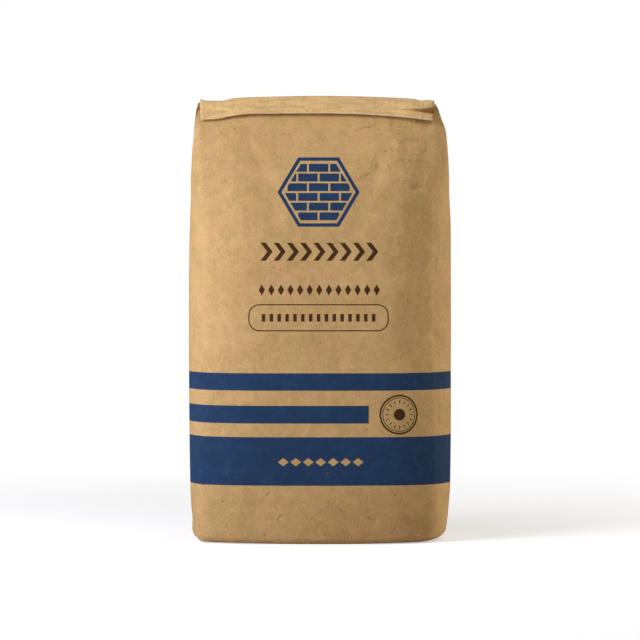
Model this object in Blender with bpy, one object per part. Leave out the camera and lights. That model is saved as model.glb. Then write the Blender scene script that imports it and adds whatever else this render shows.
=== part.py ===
"""A filled 50 kg cement bag: one gusseted kraft paper sack, standing on its base, its mouth folded over to the front.

Metres, +Z up, the front faces -Y. The origin is the centre of the base, where the bag stands.
The sack is a paper tube of four panels, front, right gusset, back and left gusset, so each level of it is one
closed ring of the same points. The rings go up the filled body, narrow to the flat mouth, turn over its fold and
come down the front as the flap. A pair of heights or distances gives where a change starts and where it is full.
"""

import math

import bmesh
import bpy
import numpy as np

# The filled sack
HEIGHT = 0.650
DEPTH = 0.170

# The paper tube, crease to crease
PANEL_WIDTH = 0.338
GUSSET_WIDTH = 0.150

# The mouth, folded over to the front as a flap
MOUTH_THICKNESS = 0.0035
FLAP_GAP = 0.0015
FLAP_STAND_OFF = 0.0020
MOUTH_OFFSET = 0.040

# The mouth sits a little to the left, and its two ends hang lower than its middle
MOUTH_SHIFT = -0.004
SHIFT_HEIGHTS = (0.590, 0.645)
DROOP_HEIGHTS = (0.560, 0.640)

# How far the sack reaches to each side: (height, reach)
LEFT_REACH = [
    (0.0000, 0.1768), (0.0028, 0.1808), (0.0084, 0.1866), (0.0180, 0.1884), (0.0290, 0.1878), (0.0510, 0.1898),
    (0.0850, 0.1912), (0.2060, 0.1926), (0.3000, 0.1930), (0.4100, 0.1921), (0.5020, 0.1893), (0.5600, 0.1865),
    (0.5830, 0.1848), (0.6070, 0.1822), (0.6310, 0.1782), (0.6425, 0.1740), (0.6470, 0.1690),
]
RIGHT_REACH = [
    (0.0000, 0.1660), (0.0042, 0.1764), (0.0126, 0.1848), (0.0224, 0.1868), (0.0510, 0.1897), (0.0834, 0.1920),
    (0.2000, 0.1930), (0.4500, 0.1921), (0.5197, 0.1890), (0.5760, 0.1856), (0.5920, 0.1843), (0.6075, 0.1830),
    (0.6226, 0.1802), (0.6371, 0.1770), (0.6443, 0.1728), (0.6470, 0.1690),
]

# The folded top edge and the flap's lower edge: (distance to the right of the flap's middle, height)
TOP_EDGE = [
    (-0.1690, 0.6452), (-0.1640, 0.6432), (-0.1400, 0.6428), (-0.1190, 0.6470), (-0.0600, 0.6490), (0.0000, 0.6500),
    (0.0500, 0.6494), (0.1150, 0.6472), (0.1400, 0.6455), (0.1520, 0.6432), (0.1690, 0.6430),
]
FLAP_EDGE = [
    (-0.1690, 0.6162), (-0.1470, 0.6172), (-0.1200, 0.6218), (-0.0950, 0.6242), (0.0000, 0.6250), (0.0480, 0.6242),
    (0.0870, 0.6224), (0.1260, 0.6198), (0.1690, 0.6158),
]

# The shoulders, where the panels come in to the mouth: the front is a flat slope above a bend, the back is rounded
FRONT_BEND = (0.480, 0.550)
BACK_SHOULDER = 0.450
BACK_SHOULDER_POWER = 3.0

# The panels are crowned by the filling, with a bend towards each crease, and the gussets swell outside the creases.
# The filling rolls the left creases outwards and the right ones inwards
CREASE_ROLL_LEFT = 0.005
CREASE_ROLL_RIGHT = -0.006
ROLL_SHARES = (0.66, 1.00)
PANEL_CROWN = 0.020
CROWN_BEND = (0.50, 0.84)
CROWN_ROUND_SHARE = 0.12
CROWN_FADE_POWER = 8.0
GUSSET_SWELL = 0.008
FOOT_SWELL = 0.004
SWELL_HEIGHTS = (0.000, 0.060)
SWELL_FADE_POWER = 30.0
GUSSET_ROUND_POWER = 2.2
GUSSET_SQUARE_POWER = 11.2
SQUARE_HEIGHTS = (0.500, 0.600)

# The gusset folds in between the panels under the mouth
TUCK_DEPTH = 0.068
TUCK_HEIGHTS = (0.505, 0.630)
TUCK_POWER = 2.2

# The foot is rounded, and everything comes in a little towards it
BASE_RADIUS = 0.009
FOOT_RISE = 0.055
DEPTH_TAPER = 0.14
CROWN_TAPER = 0.40

# How soft the creases are, and which part of each side is moved out or in to its reach
CORNER_SOFTNESS = 0.009
SOFTNESS_FADE_POWER = 6.0
HELD_SHARES = (0.55, 0.95)

# How finely the paper is divided
PANEL_SPLITS = 24
GUSSET_SPLITS = 14
RING_SAMPLES = 480
BASE_RINGS = 6
WALL_RINGS = 12
WALL_TOP = 0.500
TOP_RINGS = 14
TOP_CROWDING = 1.4
FOLD_RINGS = 6
FLAP_RINGS = 7
WELD_DISTANCE = 1e-5
SHARP_ANGLE = math.radians(50)

SEAM_HEIGHT = HEIGHT - FLAP_GAP / 2 - MOUTH_THICKNESS
PERIMETER = 2 * (PANEL_WIDTH + GUSSET_WIDTH)

KRAFT_BROWN = (0.52, 0.35, 0.18, 1.0)
KRAFT_ROUGHNESS = 0.8


def ease(value, start, end):
    """0 up to start, 1 from end, and a smooth step between them."""
    share = np.clip((value - start) / (end - start), 0.0, 1.0)
    return share * share * (3.0 - 2.0 * share)


def faded(height, power):
    """1 at the base and 0 at the mouth. A higher power holds it near 1 for longer."""
    return 1.0 - (height / SEAM_HEIGHT) ** power


def smooth_line(points, x):
    """A smooth curve through a few (x, value) points, with no overshoot between them."""
    at = np.array([p[0] for p in points])
    value = np.array([p[1] for p in points])
    slope = np.diff(value) / np.diff(at)
    steady = slope[:-1] * slope[1:] > 0
    mean = np.where(steady, 2 * slope[:-1] * slope[1:] / np.where(steady, slope[:-1] + slope[1:], 1.0), 0.0)
    tangent = np.concatenate([slope[:1], mean, slope[-1:]])
    x = np.clip(x, at[0], at[-1])
    i = np.clip(np.searchsorted(at, x) - 1, 0, len(at) - 2)
    width = at[i + 1] - at[i]
    t = (x - at[i]) / width
    return (
        value[i] * (1 + 2 * t) * (1 - t) ** 2
        + width * tangent[i] * t * (1 - t) ** 2
        + value[i + 1] * t * t * (3 - 2 * t)
        + width * tangent[i + 1] * t * t * (t - 1)
    )


def bent(value, start, end):
    """0 up to start, a straight slope of 1 from end, and a smooth bend between them."""
    turned = np.clip((value - start) / (end - start), 0.0, 1.0)
    return (end - start) * (turned**3 - turned**4 / 2) + np.maximum(value - end, 0.0)


def base_inset(height, radius):
    """How far the rounded base edge lies inside the wall at this height."""
    below = max(radius - height, 0.0)
    return radius - math.sqrt(radius * radius - below * below)


def foot(height, taper):
    """The wall's share of its full reach, which is a little less near the base."""
    return 1.0 - taper * math.exp(-height / FOOT_RISE)


def front_reach(height):
    """The front panel's distance from the centre plane, towards -Y."""
    leaning = bent(height, *FRONT_BEND) / bent(SEAM_HEIGHT, *FRONT_BEND)
    return DEPTH / 2 * foot(height, DEPTH_TAPER) - (DEPTH / 2 - MOUTH_THICKNESS / 2 - MOUTH_OFFSET) * leaning


def back_reach(height):
    """The back panel's distance from the centre plane, towards +Y."""
    leaning = (max(height - BACK_SHOULDER, 0.0) / (SEAM_HEIGHT - BACK_SHOULDER)) ** BACK_SHOULDER_POWER
    return DEPTH / 2 * foot(height, DEPTH_TAPER) - (DEPTH / 2 - MOUTH_THICKNESS / 2 + MOUTH_OFFSET) * leaning


def crown(height):
    """How far the middle of a panel stands proud of its creases."""
    return PANEL_CROWN * faded(height, CROWN_FADE_POWER) * foot(height, CROWN_TAPER)


def crown_lost(panel):
    """The share of the crown that is lost at this share of the way from a panel's middle to its crease."""
    return CROWN_ROUND_SHARE * panel**2 + (1.0 - CROWN_ROUND_SHARE) * bent(panel, *CROWN_BEND) / bent(1.0, *CROWN_BEND)


def soften(points, radius):
    """Rounds a closed ring of evenly spaced points by averaging along it."""
    if radius <= 0.0:
        return points
    steps = np.arange(len(points))
    steps = np.minimum(steps, len(points) - steps) * PERIMETER / len(points)
    kernel = np.exp(-0.5 * (steps / radius) ** 2)
    blur = np.fft.rfft(kernel / kernel.sum())[:, None]
    return np.fft.irfft(np.fft.rfft(points, axis=0) * blur, len(points), axis=0)


def held_to_reach(x, reach):
    """Lets the ring's two sides out, or draws them in, until each goes as far as its reach."""
    share = np.where(x < 0.0, -reach / x.min(), reach / x.max())
    near_side = ease(np.abs(x) * share / reach, *HELD_SHARES)
    return x * (1.0 + (share - 1.0) * near_side)


def body_ring(height):
    """RING_SAMPLES points round the body at this height, evenly spaced along the paper from the front's middle."""
    along = np.arange(RING_SAMPLES) / RING_SAMPLES * PERIMETER
    half_panel, half_gusset = PANEL_WIDTH / 2, GUSSET_WIDTH / 2
    front, back = -front_reach(height), back_reach(height)
    front_edge, back_edge = front + crown(height), back - crown(height)

    # Distance from the front's middle round the right side, mirrored for the left.
    right = np.minimum(along, PERIMETER - along)
    is_right = along <= PERIMETER / 2
    reach = np.where(is_right, smooth_line(RIGHT_REACH, height), smooth_line(LEFT_REACH, height))
    swollen = FOOT_SWELL + (GUSSET_SWELL - FOOT_SWELL) * ease(height, *SWELL_HEIGHTS)
    roll = faded(height, CROWN_FADE_POWER)
    rolled_in = np.where(is_right, CREASE_ROLL_LEFT - CREASE_ROLL_RIGHT, 0.0) * roll
    edge = half_panel + CREASE_ROLL_LEFT * roll
    edge = np.minimum(edge, reach - swollen * faded(height, SWELL_FADE_POWER))
    panel = np.where(right < half_panel, right, PERIMETER / 2 - right) / half_panel
    panel = np.clip(panel, 0.0, 1.0)
    across = np.clip((right - half_panel - half_gusset) / half_gusset, -1.0, 1.0)
    in_gusset = (right > half_panel) & (right < half_panel + GUSSET_WIDTH)

    squareness = ease(height, *SQUARE_HEIGHTS)
    swell_power = GUSSET_ROUND_POWER + (GUSSET_SQUARE_POWER - GUSSET_ROUND_POWER) * squareness
    swell = (reach - edge + rolled_in) * (1.0 - np.abs(across) ** swell_power)
    tuck_power = TUCK_POWER + (1.0 - TUCK_POWER) * ease(height, *SHIFT_HEIGHTS)
    tuck = TUCK_DEPTH * ease(height, *TUCK_HEIGHTS) * (1.0 - np.abs(across)) ** tuck_power
    gusset_x = edge - rolled_in + swell - tuck
    gusset_y = front_edge + (back_edge - front_edge) * (across + 1.0) / 2

    proud = crown(height) * (1.0 - crown_lost(panel))
    panel_y = np.where(across < 0.0, front_edge - proud, back_edge + proud)
    panel_x = edge * panel - rolled_in * ease(panel, *ROLL_SHARES)
    x = np.where(is_right, 1.0, -1.0) * np.where(in_gusset, gusset_x, panel_x)
    y = np.where(in_gusset, gusset_y, panel_y)
    ring = soften(np.stack([x, y], axis=1), CORNER_SOFTNESS * faded(height, SOFTNESS_FADE_POWER))

    ring[:, 0] = held_to_reach(ring[:, 0], reach)
    ring[:, 1] *= 1.0 - base_inset(height, BASE_RADIUS) / (DEPTH / 2)
    return ring


def split_positions():
    """Where the ring's points lie along the paper: even in each panel, from the front's middle to the right."""
    half = PANEL_SPLITS // 2
    panel = np.linspace(0.0, PANEL_WIDTH, PANEL_SPLITS + 1)
    gusset = np.linspace(0.0, GUSSET_WIDTH, GUSSET_SPLITS + 1)
    right_gusset = PANEL_WIDTH / 2
    back_panel = right_gusset + GUSSET_WIDTH
    left_gusset = back_panel + PANEL_WIDTH
    return np.concatenate([
        panel[half:-1] - PANEL_WIDTH / 2,
        right_gusset + gusset[:-1],
        back_panel + panel[:-1],
        left_gusset + gusset[:-1],
        left_gusset + GUSSET_WIDTH + panel[:half],
    ])


def top_drop(across):
    """How far the folded top edge lies below the sack's full height."""
    return HEIGHT - smooth_line(TOP_EDGE, across)


def at_height(ring, height):
    """A level ring as points in space, with the top of the sack shifted and drooping towards its ends."""
    lowered = height - top_drop(ring[:, 0]) * ease(height, *DROOP_HEIGHTS)
    shift = MOUTH_SHIFT * ease(height, *SHIFT_HEIGHTS)
    return np.column_stack([ring[:, 0] + shift, ring[:, 1], lowered])


def body_rings(splits):
    """The filled body's rings, from the base to the flat mouth, closer together towards the mouth."""
    samples = np.arange(RING_SAMPLES + 1) / RING_SAMPLES * PERIMETER
    turns = np.linspace(0.0, math.pi / 2, BASE_RINGS)
    base = BASE_RADIUS * (1.0 - np.cos(turns))
    wall = np.linspace(base[-1], WALL_TOP, WALL_RINGS + 1)[1:]
    remaining = 1.0 - np.linspace(0.0, 1.0, TOP_RINGS + 1)[1:]
    top = SEAM_HEIGHT - (SEAM_HEIGHT - WALL_TOP) * remaining**TOP_CROWDING
    rings = []
    for height in np.concatenate([base, wall, top]):
        ring = body_ring(height)
        ring = np.vstack([ring, ring[:1]])
        placed = [np.interp(splits, samples, ring[:, axis]) for axis in (0, 1)]
        rings.append(at_height(np.column_stack(placed), height))
    return rings


def flap_rings(mouth):
    """The rings that carry the flat mouth over its fold and down the front. The back panel ends up outside."""
    x = mouth[:, 0]
    outer = np.clip((mouth[:, 1] + MOUTH_OFFSET) / MOUTH_THICKNESS + 0.5, 0.0, 1.0)
    across = x - MOUTH_SHIFT
    drop = top_drop(across)
    top, low = SEAM_HEIGHT - drop, smooth_line(FLAP_EDGE, across)
    lost = crown_lost(np.clip(np.abs(across) / (PANEL_WIDTH / 2), 0.0, 1.0))

    rings = []
    fold_y = -MOUTH_OFFSET - MOUTH_THICKNESS / 2 - FLAP_GAP / 2
    reach = FLAP_GAP / 2 + outer * MOUTH_THICKNESS
    for turn in np.linspace(0.0, math.pi, FOLD_RINGS + 1)[1:]:
        y = fold_y + reach * math.cos(turn)
        z = SEAM_HEIGHT + reach * math.sin(turn)
        rings.append(np.column_stack([x, y, z - drop]))

    for share in np.linspace(0.0, 1.0, FLAP_RINGS + 1)[1:]:
        level = top + (low - top) * share
        nominal = level + drop * ease(level, *DROOP_HEIGHTS)
        behind = np.array([front_reach(h) - crown(h) * away for h, away in zip(nominal, lost)])
        clear = FLAP_GAP + FLAP_STAND_OFF * share
        rings.append(np.column_stack([x, -behind - clear - outer * MOUTH_THICKNESS, level]))

    # The plies are shut along the flap's lower edge, which is a little rounded.
    edge = rings[-1].copy()
    edge[:, 1] += (outer - 0.5) * MOUTH_THICKNESS
    edge[:, 2] -= MOUTH_THICKNESS / 3
    rings.append(edge)
    return rings


def loft(name, rings):
    """One closed mesh through rings of equal length: flat at the first ring, welded shut at the last."""
    count = len(rings[0])
    quads = []
    for level in range(len(rings) - 1):
        low, high = level * count, (level + 1) * count
        for i in range(count):
            j = (i + 1) % count
            quads.append((low + i, low + j, high + j, high + i))
    base = tuple(reversed(range(count)))
    mesh = bpy.data.meshes.new(name)
    mesh.from_pydata(np.concatenate(rings).tolist(), [], quads + [base])

    shell = bmesh.new()
    shell.from_mesh(mesh)
    bmesh.ops.remove_doubles(shell, verts=shell.verts, dist=WELD_DISTANCE)
    bmesh.ops.recalc_face_normals(shell, faces=shell.faces)
    shell.to_mesh(mesh)
    shell.free()
    mesh.shade_smooth()
    mesh.set_sharp_from_angle(angle=SHARP_ANGLE)
    return mesh


def paper_material():
    """Unbleached kraft paper."""
    material = bpy.data.materials.new("kraft_paper")
    material.use_nodes = True
    shader = material.node_tree.nodes["Principled BSDF"]
    shader.inputs["Base Color"].default_value = KRAFT_BROWN
    shader.inputs["Roughness"].default_value = KRAFT_ROUGHNESS
    shader.inputs["Metallic"].default_value = 0.0
    return material


def main():
    for old in list(bpy.data.objects):
        bpy.data.objects.remove(old)
    collection = bpy.data.collections.new("cement_bag")
    bpy.context.scene.collection.children.link(collection)

    rings = body_rings(split_positions())
    rings += flap_rings(rings[-1])
    sack = bpy.data.objects.new("paper_sack", loft("paper_sack", rings))
    sack.data.materials.append(paper_material())
    collection.objects.link(sack)


main()
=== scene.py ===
"""Looks of a filled 50 kg cement bag, a gusseted kraft paper sack with printed navy bands.

Metres, +Z up, the front faces -Y. The sack is a tube of four panels: front, right gusset, back, left gusset.
Its mouth is folded over to the front as a flap. Its surface is a grid: a column runs up a line of the paper,
and a row runs once round it. A pair of heights or distances gives where a change starts and where it is full.
"""

import math

import bpy
import numpy as np
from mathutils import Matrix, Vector


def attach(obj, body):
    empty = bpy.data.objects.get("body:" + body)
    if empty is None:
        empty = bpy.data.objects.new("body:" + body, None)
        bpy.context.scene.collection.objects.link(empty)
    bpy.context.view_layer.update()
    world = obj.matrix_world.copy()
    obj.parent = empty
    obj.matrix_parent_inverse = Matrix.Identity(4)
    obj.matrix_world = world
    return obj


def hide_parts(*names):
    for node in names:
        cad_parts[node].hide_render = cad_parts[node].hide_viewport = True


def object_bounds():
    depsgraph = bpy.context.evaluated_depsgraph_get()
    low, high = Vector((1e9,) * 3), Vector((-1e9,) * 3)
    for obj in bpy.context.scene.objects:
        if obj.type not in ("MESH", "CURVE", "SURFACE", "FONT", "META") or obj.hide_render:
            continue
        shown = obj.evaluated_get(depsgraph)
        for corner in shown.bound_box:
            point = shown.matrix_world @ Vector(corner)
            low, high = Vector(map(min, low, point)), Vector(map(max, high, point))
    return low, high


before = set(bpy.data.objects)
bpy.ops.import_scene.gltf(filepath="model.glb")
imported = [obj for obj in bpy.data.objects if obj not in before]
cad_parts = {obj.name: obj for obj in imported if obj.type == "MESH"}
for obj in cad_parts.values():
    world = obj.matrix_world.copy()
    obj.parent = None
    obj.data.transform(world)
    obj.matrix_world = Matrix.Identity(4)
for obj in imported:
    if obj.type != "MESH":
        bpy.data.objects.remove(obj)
CAD_LOW, CAD_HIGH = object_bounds()

# The filled sack
HEIGHT = CAD_HIGH.z
DEPTH = CAD_HIGH.y - CAD_LOW.y

# The paper tube, crease to crease
PANEL_WIDTH = 0.338
GUSSET_WIDTH = 0.150
PERIMETER = 2 * (PANEL_WIDTH + GUSSET_WIDTH)
FRONT_CREASE = PANEL_WIDTH / 2
BACK_CREASE = FRONT_CREASE + GUSSET_WIDTH
PAPER_CREASES = (FRONT_CREASE, BACK_CREASE, PERIMETER - BACK_CREASE, PERIMETER - FRONT_CREASE)

# The mouth, folded over to the front as a flap
MOUTH_THICKNESS = 0.0032
FLAP_GAP = 0.0010
FLAP_STAND_OFF = 0.0028
MOUTH_OFFSET = 0.040
MOUTH_SHIFT = -0.004
SHIFT_HEIGHTS = (0.590, 0.645)
DROOP_HEIGHTS = (0.560, 0.640)
MOUTH_HEIGHT = HEIGHT - FLAP_GAP / 2 - MOUTH_THICKNESS

# How far the sack reaches to each side: (height, reach)
LEFT_REACH = [
    (0.0000, 0.1768), (0.0028, 0.1808), (0.0084, 0.1866), (0.0180, 0.1884), (0.0290, 0.1878),
    (0.0510, 0.1898), (0.0850, 0.1912), (0.2060, 0.1926), (0.3000, 0.1930), (0.4100, 0.1921),
    (0.5020, 0.1893), (0.5600, 0.1865), (0.5830, 0.1848), (0.6070, 0.1822), (0.6310, 0.1782),
    (0.6425, 0.1740), (0.6470, 0.1690),
]
RIGHT_REACH = [
    (0.0000, 0.1660), (0.0042, 0.1764), (0.0126, 0.1848), (0.0224, 0.1868), (0.0510, 0.1897),
    (0.0834, 0.1920), (0.2000, 0.1930), (0.4500, 0.1921), (0.5197, 0.1890), (0.5760, 0.1856),
    (0.5920, 0.1843), (0.6075, 0.1830), (0.6226, 0.1802), (0.6371, 0.1770), (0.6443, 0.1728),
    (0.6470, 0.1690),
]

# The folded top edge and the flap's lower edge: (distance to the right of the flap's middle, height)
TOP_EDGE = [
    (-0.1690, 0.6452), (-0.1640, 0.6432), (-0.1400, 0.6428), (-0.1190, 0.6470), (-0.0600, 0.6490),
    (0.0000, 0.6500), (0.0500, 0.6494), (0.1150, 0.6472), (0.1400, 0.6455), (0.1520, 0.6432),
    (0.1620, 0.6442), (0.1690, 0.6430),
]
FLAP_EDGE = [
    (-0.1690, 0.6162), (-0.1470, 0.6172), (-0.1200, 0.6218), (-0.0950, 0.6242), (0.0000, 0.6250),
    (0.0480, 0.6242), (0.0870, 0.6222), (0.1260, 0.6192), (0.1690, 0.6146),
]

# The flap: its outer ply ends above the inner one on the right, and its right end stands open as a pocket
PLY_STEP = 0.0026
PLY_STEP_LEFT = 0.0004
PLY_STEP_STARTS = (0.000, 0.040)
PLY_ROUNDING = 0.0005
PLY_DEPTH = 0.0004
FLAP_WAVE = 0.0003
FLAP_WAVES = 34.0
FLAP_ROLL = 0.0012
FLAP_ROLL_TURNS = 1.6
INNER_PLY_SHARE = 0.4
END_THICKNESS = 0.0052
END_THICKENS_DOWN = 3
END_THICKENS = (0.095, 0.165)
LEFT_END_THINNED = 0.0022
LEFT_END_THINS = (0.110, 0.162)
RIGHT_END_DRAWN_IN = 0.0028
PRESSED_DEPTH = 0.0022
PRESSED_REACH = (0.012, 0.002)
PRESSED_BELOW_TOP = 0.012
POCKET_LINE = (0.1190, 0.6304)
POCKET_SLOPE = -0.033
POCKET_OPENING = 0.130
POCKET_DEPTH = 0.0056
POCKET_UPPER_SIDE = (0.00, 0.20)
POCKET_LOWER_SIDE = (0.25, 1.10)

# The flap's places on the paper, from the fold: its face, and its cut edge in four steps
FACE_STARTS = 0.010
FACE_LENGTH = 0.028
EDGE_STARTS = 0.045
EDGE_STEPS = (0.0005, 0.0015, 0.0035, 0.0040)

# The shoulders, where the panels come in to the mouth: the front is flat above a bend, the back is rounded
FRONT_BEND = (0.480, 0.550)
BACK_SHOULDER = 0.450
BACK_SHOULDER_POWER = 3.0

# The filling crowns the panels, with a bend towards each crease, and swells the gussets outside the creases
CREASE_ROLL_LEFT = 0.005
CREASE_ROLL_RIGHT = -0.006
CREASE_ROLL_RIGHT_LOW = -0.001
ROLL_CHANGES = (0.240, 0.400)
ROLL_SHARES = (0.66, 1.00)
PANEL_CROWN = 0.020
CROWN_BEND = (0.50, 0.84)
CROWN_ROUND_SHARE = 0.12
CROWN_FADE_POWER = 8.0
GUSSET_SWELL = 0.008
FOOT_SWELL = 0.004
SWELL_HEIGHTS = (0.000, 0.060)
SWELL_FADE_POWER = 30.0
GUSSET_ROUND_POWER = 2.2
GUSSET_SQUARE_POWER = 11.2
SQUARE_HEIGHTS = (0.500, 0.600)

# The gusset folds in between the panels under the mouth
TUCK_DEPTH = 0.068
TUCK_HEIGHTS = (0.505, 0.630)
TUCK_POWER = 2.2

# The foot is rounded, and everything comes in a little towards it
BASE_RADIUS = 0.009
FOOT_RISE = 0.055
DEPTH_TAPER = 0.14
CROWN_TAPER = -0.12
FOOT_ROUND_SHARE = 0.60
FOOT_BEND_STARTS = 0.60
FOOT_ROUND_HEIGHTS = (0.150, 0.020)

# How soft the creases are
CORNER_SOFTNESS = 0.007
RIGHT_SOFTNESS = 0.014
SOFTNESS_FADE_POWER = 6.0
RIGHT_ROUNDED = (0.100, 0.140)
FOOT_SOFTNESS = 1.80
HELD_SHARES = (0.55, 0.95)

# How finely the paper is divided
FRONT_SPLITS = 128
GUSSET_SPLITS = 46
BACK_SPLITS = 108
RING_SAMPLES = 976
BASE_RINGS = 10
BODY_RINGS = 197
FOLD_RINGS = 8
FLAP_RINGS = 30

# The settled paper: how much of its broad swelling is kept, and how much of its folds on each panel
SETTLING_FRAMES = 20
SETTLING_PAPER = {
    "quality": 8, "mass": 0.3, "air_damping": 3.0,
    "tension_stiffness": 60.0, "compression_stiffness": 60.0,
    "shear_stiffness": 30.0, "bending_stiffness": 3.0,
    "tension_damping": 15.0, "compression_damping": 15.0,
    "shear_damping": 10.0, "bending_damping": 1.0,
    "use_pressure": True, "uniform_pressure_force": 3.0,
}
BULGE_KEPT = 0.30
FOLDS_KEPT_FRONT = 0.30
FOLDS_KEPT_LOW = 0.08
LOW_HEIGHTS = (0.090, 0.200)
FOLDS_KEPT_ELSEWHERE = 0.95
FOLD_LIMIT = 0.007
FOOT_LIFT = 0.0014
FOOT_LIFT_ACROSS = (0.040, 0.150)
FOOT_LIFT_FADES = 0.020
FOOT_WAVE = 0.0003
FOOT_WAVES = ((70.0, 0.0), (163.0, 1.0))
BROAD_ROWS = 7.0
BROAD_COLUMNS = 8.0
HELD_BELOW = 0.003
HELD_ABOVE = 0.635
HELD_FADES = 0.030
FRONT_FADES = 0.020

# The sharp folds that the empty sack had: how far they stand out, and how wide they are
CREASE_RIDGE = 0.0004
CREASE_HALF_WIDTH = 0.0030
GUSSET_VALLEY = 0.0014
CREASES_START = (0.030, 0.100)
CREASES_END = (0.600, 0.640)

# Dents in the front: (start, end, half width, depth), by places across and up, from the base's middle
DENTS = [
    ((0.105, 0.557), (0.054, 0.519), 0.0070, 0.0016),
    ((0.062, 0.602), (0.080, 0.607), 0.0030, -0.0007),
    ((0.112, 0.588), (0.150, 0.5855), 0.0022, 0.0010),
    ((0.106, 0.574), (0.160, 0.573), 0.0022, 0.0012),
    ((0.118, 0.5655), (0.156, 0.562), 0.0022, 0.0010),
    ((0.128, 0.512), (0.146, 0.526), 0.0060, 0.0011),
    ((0.150, 0.404), (0.184, 0.398), 0.0055, 0.0010),
    ((0.164, 0.302), (0.188, 0.284), 0.0045, 0.0013),
    ((-0.186, 0.586), (-0.164, 0.590), 0.0022, -0.0006),
    ((-0.014, 0.030), (0.000, 0.016), 0.0035, 0.0009),
    ((0.033, 0.032), (0.046, 0.008), 0.0035, 0.0010),
    ((0.068, 0.041), (0.083, 0.031), 0.0022, 0.0007),
    ((-0.040, 0.072), (-0.005, 0.040), 0.0090, 0.0012),
    ((0.130, 0.034), (0.160, 0.012), 0.0050, 0.0012),
]

# The print on the paper, by places in metres: along from the front's middle, and up from the base
BAND_1 = (0.2238, 0.2490)
BAND_2 = (0.1764, 0.2020)
BAND_3 = (0.0862, 0.1566)
BAND_2_END = 0.0684
BAND_2_START = (PANEL_WIDTH + GUSSET_WIDTH) / 2
BAND_MARKS_MIDDLE = (0.0010, 0.1205)
BAND_MARKS = 7
BAND_MARKS_STEP = 0.0175
BAND_MARK_HALVES = (0.0075, 0.0060)
BADGE_MIDDLE = (-0.0020, 0.5100)
BADGE_REACH = 0.0500
BADGE_FRAME = 0.0050
BADGE_MARGIN = 0.0030
COURSES_BELOW = 20.0
COURSE_HEIGHT = 0.0140
BRICK_LENGTH = 0.0300
MORTAR = 0.0026
CHEVRON_MIDDLE = (0.0040, 0.4240)
CHEVRONS = 9
CHEVRON_HEIGHT = 0.0260
CHEVRON_LEAN = 0.75
CHEVRON_STEP = 0.0185
CHEVRON_THICKNESS = 0.0075
ROW_MIDDLE = (-0.0010, 0.3690)
ROW_LOZENGES = 13
ROW_STEP = 0.0134
ROW_HALVES = (0.0045, 0.0080)
PLATE_MIDDLE = (-0.0020, 0.3290)
PLATE_REACH = 0.0975
PLATE_HEIGHT = 0.0375
PLATE_ROUNDING = 0.0150
PLATE_LINE = 0.0017
PLATE_STEP = 0.0110
PLATE_BAR = 0.0050
PLATE_BAR_HEIGHT = 0.0110
PLATE_BARS = 15
STAMP_MIDDLE = (0.1120, 0.1890)
STAMP_RADIUS = 0.0275
STAMP_LINE = 0.0026
STAMP_INNER_RADIUS = 0.0240
STAMP_INNER_LINE = 0.0012
STAMP_TICKS = 16
STAMP_TICK_RADIUS = 0.0185
STAMP_TICK_LENGTH = 0.0045
STAMP_TICK_WIDTH = 0.0016
STAMP_DISC = 0.0085
PRINT_EDGE = 0.00025
PRINT_ROUGHNESS = 0.0006
INK_WEAR = 0.35
INK_WORN = (0.58, 0.78)
INK_TONES = (0.3, 0.7)
PAPER_ROUGHNESS = 0.68
GRAIN_ROUGHNESS = 0.12
INK_DULLNESS = 0.22

# The painted shade in the pocket at the flap's right end, by places across and up, the flap's edge with its
# painted highlight, by its place on the paper, and the streaks in the flap's painted paleness
POCKET_TIP = (0.1227, 0.6302)
POCKET_RISE = (0.150, -0.185)
POCKET_SOFTNESS = (0.0055, 0.0008)
POCKET_STARTS = 0.0060
FLAP_STARTS = (0.6520, 0.6530)
PLY_EDGE = (0.6915, 0.6955)
PLY_EDGE_SOFTNESS = 0.0004
PLY_EDGE_HIGHLIGHT = 0.5
STREAK_STRETCH = (0.12, 1.0, 1.0)
FLAP_LIGHT_SHARE = 0.6
STREAK_SPREAD = 2.6

# Where the foot of the front is painted darker as shade, by places on the paper: up, and from left to right
FOOT_SHADE_HEIGHTS = (0.130, 0.030)
FOOT_SHADE_FROM = (-0.090, 0.040)
FOOT_SHADE_TO = (0.185, 0.155)
FOOT_SHADE_SHARE = 0.7
FOOT_SHADE_SPREAD = 1.2

# The tube's seam on the back, by its place round the sack, and the base's folds, from the base's middle
SEAM_PLACE = 0.3340
SEAM_WIDTH = 0.0300
SEAM_STEP = 0.0008
SEAM_RELIEF = 0.0004
SEAM_LINE = 0.0009
SEAM_FADES = 0.010
SEAM_TONE = 0.55
BASE_LAP = 0.0180
BASE_TUCK = 0.1000
BASE_TUCK_SLOPE = 0.8
BASE_FOLD_LINE = 0.0012
UNDERSIDE_HEIGHTS = (0.0012, 0.0004)

# Colours of the paper and the ink, and of the painted shade and highlights
KRAFT_OLIVE = (0.556, 0.357, 0.131, 1.0)
KRAFT_PINK = (0.600, 0.353, 0.147, 1.0)
KRAFT_DARKER = (0.84, 0.82, 0.78, 1.0)
KRAFT_LIGHTER = (1.16, 1.17, 1.20, 1.0)
SPECK_BROWN = (0.085, 0.045, 0.016, 1.0)
SPECK_PALE = (0.82, 0.66, 0.40, 1.0)
NAVY = (0.016, 0.048, 0.118, 1.0)
NAVY_DEEP = (0.013, 0.039, 0.090, 1.0)
PRINT_BROWN = (0.062, 0.025, 0.006, 1.0)
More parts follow.
